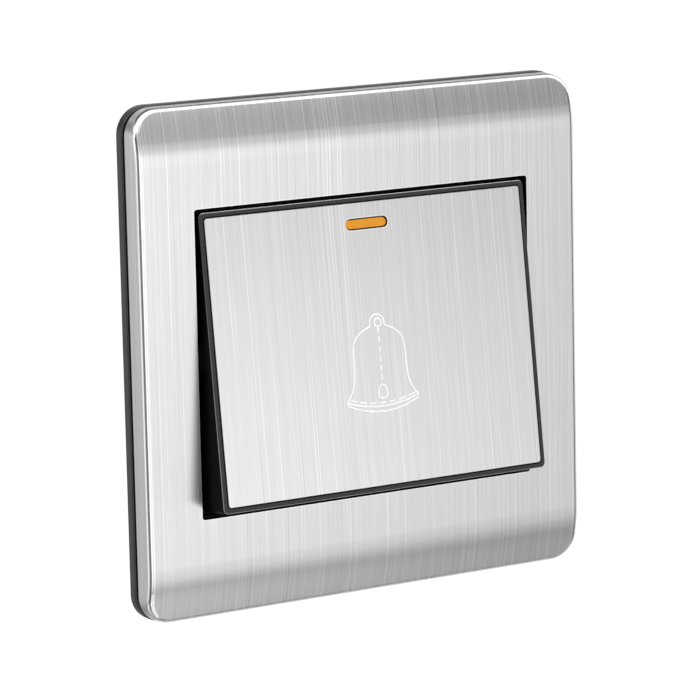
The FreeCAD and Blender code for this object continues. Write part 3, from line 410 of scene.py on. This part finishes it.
def brushed_steel():
    """Stainless sheet brushed straight up and down: fine streaks, some long and strong."""
    look = Surface("brushed_steel")
    look.set(Metallic=1.0, Anisotropic=0.8, Anisotropic_Rotation=0.25)
    across = look.across_brush()
    fine = look.streaks(across, FINE_STREAKS)
    broad = look.streaks(across, BROAD_STREAKS)
    strong = look.streaks(across, STRONG_STREAKS)
    short = look.streaks(across, SHORT_STREAKS)
    marks = look.product(
        look.span(fine, 0.3, 0.7, 0.93, 1.06),
        look.span(broad, 0.35, 0.65, 0.98, 1.02),
        look.span(strong, 0.68, 0.80, 1.0, 1.36),
        look.span(strong, 0.18, 0.26, 0.78, 1.0),
        look.span(short, 0.56, 0.76, 1.0, 1.06),
    )
    depth = look.span(across[1], *FADE_HEIGHTS, FADE_LEAST, 1.0)
    faded = look.calc("ADD", look.product(look.calc("SUBTRACT", marks, 1.0), depth), 1.0)
    shade = look.add("ShaderNodeVectorMath", operation="SCALE")
    shade.inputs[0].default_value = STEEL_COLOUR
    # the steel's colour carries the painted highlights round the opening and slot and the painted shade round
    # the skin
    look.link(look.product(faded, look.painted_edge_light()), shade.inputs["Scale"])
    tangent = look.add("ShaderNodeCombineXYZ")
    tangent.inputs["Z"].default_value = 1.0
    roughness = look.product(look.span(fine, 0.25, 0.75, 0.24, 0.28), look.worn_rolls())
    look.drive(Base_Color=shade.outputs[0], Roughness=roughness, Tangent=tangent.outputs[0])
    look.bump(fine, 0.5, 0.002 * MM)
    return look.material


def moulded_plastic(name, colour, roughness, grain=0.01 * MM, specular=0.5):
    """Moulded plastic with a faint grain and slightly uneven gloss."""
    look = Surface(name)
    look.set(IOR=1.5, Specular_IOR_Level=specular)
    grain_noise = look.noise(GRAIN_CELLS, 3.0, 0.6)
    cloud = look.noise((90.0, 90.0, 90.0), 3.0, 0.5)
    darker = tuple(c * 0.85 for c in colour)
    gloss = look.span(cloud, 0.3, 0.7, roughness * 0.85, roughness * 1.15)
    look.drive(Base_Color=look.mix_colour(cloud, darker, colour), Roughness=gloss)
    look.bump(grain_noise, 0.3, grain)
    return look.material


def rocker_plastic():
    """Black moulding with painted light: painted shade on its sides and seams, a painted highlight on its
    edges, fainter up the side edges, and a grained front.
    """
    look = Surface("rocker_black")
    look.set(Specular_IOR_Level=0.02, Roughness=0.45)
    stops = (
        (0.0, ROCKER_SIDE_SHADE), (0.3, ROCKER_SIDE_SHADE), (0.45, ROCKER_EDGE_HIGHLIGHT), (0.82, ROCKER_EDGE_HIGHLIGHT),
        (0.93, ROCKER_FRONT), (1.0, ROCKER_FRONT),
    )
    dark = (ROCKER_SIDE_SHADE, ROCKER_SIDE_SHADE, ROCKER_SIDE_SHADE)
    is_side = look.span(look.facing("X"), 0.2, 0.5, 0.0, 1.0)
    side_highlight_fade = look.product(is_side, look.span(look.up_rocker(), *EDGE_HIGHLIGHT_FADE_HEIGHTS, 0.3, 0.85))
    # colour by which way a face looks: painted shade on the sides, a painted highlight on the edges, fainter
    # up the side edges
    faces = look.mix_colour(side_highlight_fade, look.ramp(look.facing("Y"), stops), dark)
    outwards = (0.0, -math.cos(ROCKER_TILT), math.sin(ROCKER_TILT))
    front = ROCKER_FACE - ROCKER_AXIS_Y * math.cos(ROCKER_TILT)
    # faces sunk behind the skin's front, past the seam, get painted shade
    clear_of_seam_shade = look.span(look.along(outwards, front), *SEAM_SHADE_DEPTHS, 0.0, 1.0)
    look.drive(Base_Color=look.mix_colour(clear_of_seam_shade, dark, faces))
    look.bump(look.noise(GRAIN_CELLS, 3.0, 0.6), 0.3, 0.01 * MM)
    return look.material


def bare_metal(name, colour, roughness, cells=(2500.0, 2500.0, 2500.0)):
    """Machined or rolled metal with fine tool marks."""
    look = Surface(name)
    look.set(Metallic=1.0)
    marks = look.noise(cells, 3.0, 0.6)
    darker = tuple(c * 0.8 for c in colour)
    gloss = look.span(marks, 0.3, 0.7, roughness * 0.8, roughness * 1.25)
    look.drive(Base_Color=look.mix_colour(marks, darker, colour), Roughness=gloss)
    look.bump(marks, 0.2, 0.01 * MM)
    return look.material


def amber_window():
    """Clear amber moulding, a little cloudy, with painted shade as a dark rim against the slot."""
    look = Surface("amber_window")
    look.set(IOR=1.5, Roughness=0.3, Specular_IOR_Level=0.3)
    cloud = look.noise((700.0, 700.0, 900.0), 2.0, 0.5)
    amber = look.mix_colour(cloud, (0.60, 0.22, 0.012), (0.70, 0.31, 0.03))
    # painted shade of the recess: a dark rim against the slot's edge
    rim = look.span(look.past_slot(RECESS_SHADE_SHIFT), *RECESS_SHADE_DEPTHS, 0.0, 1.0)
    look.drive(Base_Color=look.mix_colour(rim, amber, (0.05, 0.018, 0.002)))
    look.bump(cloud, 0.1, 0.02 * MM)
    return look.material


def white_print():
    """Matt white ink."""
    look = Surface("white_print")
    look.set(Base_Color=(0.82, 0.82, 0.81, 1.0), Roughness=0.5, Specular_IOR_Level=0.1)
    return look.material


def make_materials():
    """One material for each slot of the record."""
    return {
        "brushed_steel": brushed_steel(),
        "frame_black": moulded_plastic("frame_black", (0.022, 0.022, 0.023), 0.3, specular=0.8),
        "rocker_black": rocker_plastic(),
        "housing_black": moulded_plastic("housing_black", (0.04, 0.04, 0.042), 0.5, 0.03 * MM),
        "amber": amber_window(),
        "plunger_white": moulded_plastic("plunger_white", (0.72, 0.71, 0.66), 0.4),
        "copper": bare_metal("copper", (0.72, 0.40, 0.26), 0.3, (4000.0, 400.0, 400.0)),
        "silver": bare_metal("silver", (0.80, 0.79, 0.76), 0.25),
        "brass": bare_metal("brass", (0.76, 0.58, 0.27), 0.28, (600.0, 600.0, 3500.0)),
        "zinc_steel": bare_metal("zinc_steel", (0.66, 0.67, 0.69), 0.3),
        "spring_steel": bare_metal("spring_steel", (0.42, 0.42, 0.43), 0.3),
        "board": moulded_plastic("board", (0.03, 0.14, 0.05), 0.35),
        "resistor": moulded_plastic("resistor", (0.62, 0.47, 0.28), 0.4),
        "bronze_strip": bare_metal("bronze_strip", (0.66, 0.47, 0.26), 0.3, (400.0, 3000.0, 400.0)),
    }


def dress_nodes(materials):
    """Give each piece that came from the solids its slot's material."""
    slots = {s["node"]: s["material_slot"] for s in frame["record"]["subparts"]}
    for name, piece in nodes.items():
        piece.data.materials.clear()
        piece.data.materials.append(materials[slots[name]])


def arc_point(half, height, sag, share):
    """Point at a share from -1 to 1 along a shallow hanging arc."""
    return (share * half, height - sag * (1 - share * share))


def bell_lines():
    """Lines of the bell, each a list of (across, up)."""
    side = [(x * MM, z * MM) for x, z in BELL_SIDE]
    turns = [math.pi * n / 6 for n in range(13)]
    foot = RING_HEIGHT - RING_FOOT
    arch = [(RING_RADIUS, foot)]
    arch += [(RING_RADIUS * math.cos(a), RING_HEIGHT + RING_RADIUS * math.sin(a)) for a in turns[:7]]
    arch.append((-RING_RADIUS, foot))
    eye = [(MIDDLE_SHIFT + EYE_RADIUS * math.cos(a), RING_HEIGHT + EYE_RADIUS * math.sin(a)) for a in turns]
    lines = [side, [(-x, z) for x, z in side], arch, eye]
    for height, sag in ((LIP_HEIGHT, LIP_SAG), (LIP_LOW_HEIGHT, LIP_LOW_SAG)):
        lines.append([arc_point(LIP_HALF, height, sag, n / 4) for n in range(-4, 5)])
    for n in range(ARC_DASHES):
        middle = 2 * (n + 0.5) / ARC_DASHES - 1
        lines.append([
            arc_point(DASH_ARC_HALF, DASH_ARC_HEIGHT, DASH_ARC_SAG, middle + part / ARC_DASHES)
            for part in (-DASH_ARC_PART, 0.0, DASH_ARC_PART)
        ])
    step = (DASH_LINE_TOP - CLAPPER_TOP) / LINE_DASHES
    for n in range(LINE_DASHES):
        top = DASH_LINE_TOP - n * step
        lines.append([(MIDDLE_SHIFT, top - share * step) for share in DASH_SHARES])
    drop = [(x * MM, z * MM) for x, z in CLAPPER]
    lines.append([(MIDDLE_SHIFT + x, z) for x, z in drop + [(-x, z) for x, z in reversed(drop)]])
    return lines


def make_bell():
    """White bell printed on the rocker's plate."""
    data = bpy.data.curves.new("bell_symbol", "CURVE")
    data.dimensions = "3D"
    data.bevel_depth = BELL_LINE / 2
    data.bevel_resolution = 2
    data.use_fill_caps = True
    for line in bell_lines():
        spline = data.splines.new("BEZIER")
        spline.bezier_points.add(len(line) - 1)
        for point, (across, up) in zip(spline.bezier_points, line):
            point.co = (across, up, 0.0)
            point.handle_left_type = point.handle_right_type = "AUTO"
        spline.resolution_u = 6
    bell = put("bell_symbol", data)
    sine, cosine = math.sin(ROCKER_TILT), math.cos(ROCKER_TILT)
    right, up, out = Vector((1, 0, 0)), Vector((0, sine, cosine)), Vector((0, -cosine, sine))
    flat = BELL_PROUD / (BELL_LINE / 2)
    place = Matrix((right, up, out * flat)).transposed().to_4x4()
    place.translation = Vector((BELL_X, ROCKER_AXIS_Y, 0)) + up * BELL_LIFT + out * ROCKER_FACE
    bell.matrix_world = place
    data.materials.append(white_print())
    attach(bell, "rocker")


def make_springs(materials):
    """Springs carried by their bodies; each stands for its solid."""
    for node, name, body, joint, shortening, end in (
        ("return_spring", "return_coil", "fixed", "plunger_slide", PLUNGER_TRAVEL, 1),
        ("contact_spring", "contact_coil", "plunger", "bridge_slide", BRIDGE_LAG, 0),
    ):
        coil = put(name, nodes[node].data.copy())
        coil.data.materials.clear()
        coil.data.materials.append(materials["spring_steel"])
        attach(coil, body)
        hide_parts(node)
        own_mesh(coil)


def studio_level(sky):
    """Brightness of the studio by direction, as the metal sees it: softboxes with dark gaps."""
    def by_angle(angle, stops):
        """Level between stops of (degrees, level)."""
        share = sky.calc("ADD", sky.calc("DIVIDE", angle, 2 * math.pi), 0.5)
        return sky.ramp(share, [(degrees / 360 + 0.5, level) for degrees, level in stops])

    place = sky.place("Generated")
    forward = sky.product(place["Y"], -1.0)
    around = by_angle(sky.calc("ARCTAN2", place["X"], forward), AROUND)
    upwards = by_angle(sky.calc("ARCSINE", place["Z"]), UPWARDS)
    overhead = by_angle(sky.calc("ARCTAN2", place["Z"], forward), OVERHEAD)
    return sky.calc("ADD", sky.product(around, upwards), overhead)


def make_floor():
    """Plain pale floor below the object; it looks white and keeps the object's shadow."""
    depth = cad_box[0][2] - FLOOR_DROP
    half = FLOOR_SIZE / 2
    mesh = bpy.data.meshes.new("floor")
    corners = [(-half, -half, depth), (half, -half, depth), (half, half, depth), (-half, half, depth)]
    mesh.from_pydata(corners, [], [(0, 1, 2, 3)])
    floor = put("floor", mesh)
    floor.visible_glossy = False
    material = bpy.data.materials.new("floor")
    material.use_nodes = True
    tree = Tree(material.node_tree)
    tree.nodes.clear()
    matt = tree.add("ShaderNodeBsdfDiffuse")
    matt.inputs["Color"].default_value = (FLOOR_GREY, FLOOR_GREY, FLOOR_GREY, 1.0)
    path = tree.add("ShaderNodeLightPath")
    glow = tree.add("ShaderNodeEmission")
    tree.link(tree.product(path.outputs["Is Camera Ray"], FLOOR_GLOW), glow.inputs["Strength"])
    both = tree.add("ShaderNodeAddShader")
    tree.link(matt.outputs[0], both.inputs[0])
    tree.link(glow.outputs[0], both.inputs[1])
    out = tree.add("ShaderNodeOutputMaterial")
    tree.link(both.outputs[0], out.inputs["Surface"])
    mesh.materials.append(material)


def make_sun():
    """Soft light from the front, a little from the right and above, kept out of the gloss."""
    toward = SUN_FROM.normalized()
    lamp = bpy.data.lights.new("soft_sun", "SUN")
    lamp.energy = math.pi * SUN_LEVEL / -toward.y
    lamp.angle = SUN_SOFTNESS
    holder = put("soft_sun", lamp)
    holder.rotation_euler = toward.to_track_quat("Z", "Y").to_euler()
    holder.visible_glossy = False


def world_light():
    """White surroundings for the camera, a studio for gloss, a plain level for soft light."""
    world = bpy.data.worlds.new("studio")
    bpy.context.scene.world = world
    world.use_nodes = True
    sky = Tree(world.node_tree)
    sky.nodes.clear()
    path = sky.add("ShaderNodeLightPath")

    def background(strength):
        """Light of one strength."""
        node = sky.add("ShaderNodeBackground")
        node.inputs["Color"].default_value = (1, 1, 1, 1)
        sky.feed(node.inputs["Strength"], strength)
        return node.outputs[0]

    def chosen(kind, otherwise, then):
        """One light for rays of some kind, another for the rest."""
        node = sky.add("ShaderNodeMixShader")
        for socket, value in zip(node.inputs, (path.outputs[kind], otherwise, then)):
            sky.link(value, socket)
        return node.outputs[0]

    gloss = chosen("Is Glossy Ray", background(SOFT_LEVEL), background(studio_level(sky)))
    clear = chosen("Is Transmission Ray", gloss, background(1.0))
    seen = chosen("Is Camera Ray", clear, background(1.0))
    out = sky.add("ShaderNodeOutputWorld")
    sky.link(seen, out.inputs["Surface"])


def main():
    make_camera()
    materials = make_materials()
    dress_nodes(materials)
    make_bell()
    make_springs(materials)
    make_floor()
    make_sun()
    world_light()
    bpy.context.scene.view_settings.view_transform = "Standard"


main()
